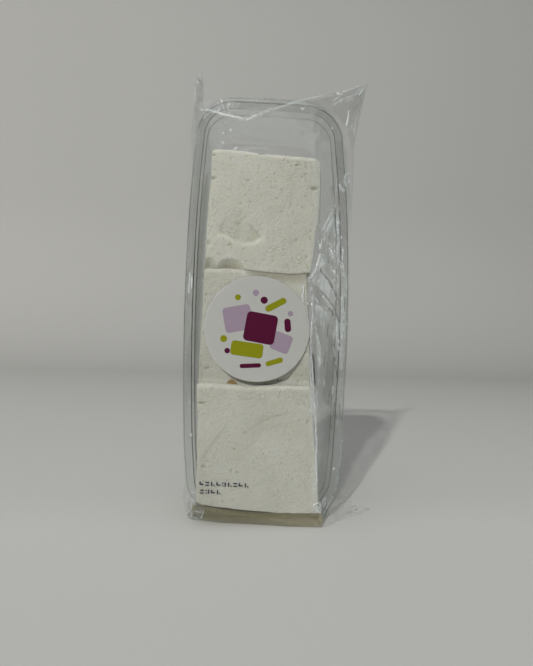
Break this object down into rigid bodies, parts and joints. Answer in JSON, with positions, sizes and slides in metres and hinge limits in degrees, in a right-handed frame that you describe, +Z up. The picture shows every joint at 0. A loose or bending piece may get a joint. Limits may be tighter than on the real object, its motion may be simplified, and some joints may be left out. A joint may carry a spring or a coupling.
{
  "type": "clear pack of marshmallow blocks",
  "caption": "Upright clear film-wrapped tray of square white marshmallow blocks, stacked one above the other, with a round paper label on the front.",
  "frame": {"origin": "bottom centre of the box that holds the pack with its film corners, on the table it stands on", "axes": "+Z up along the pack, -Y towards the front with the label, +X to the right seen from the front"},
  "size_m": [0.0996, 0.0534, 0.2268],
  "materials": {
    "clear_film": "clear, glossy",
    "label_paper": "satin",
    "marshmallow": "soft, matt, fine grained",
    "clear_tray": "clear, glossy",
    "ink": "matt ink dots"
  },
  "bodies": {
    "root": {"clear_pack": "clear_film", "round_label": "label_paper"}
  },
  "joints": []
}
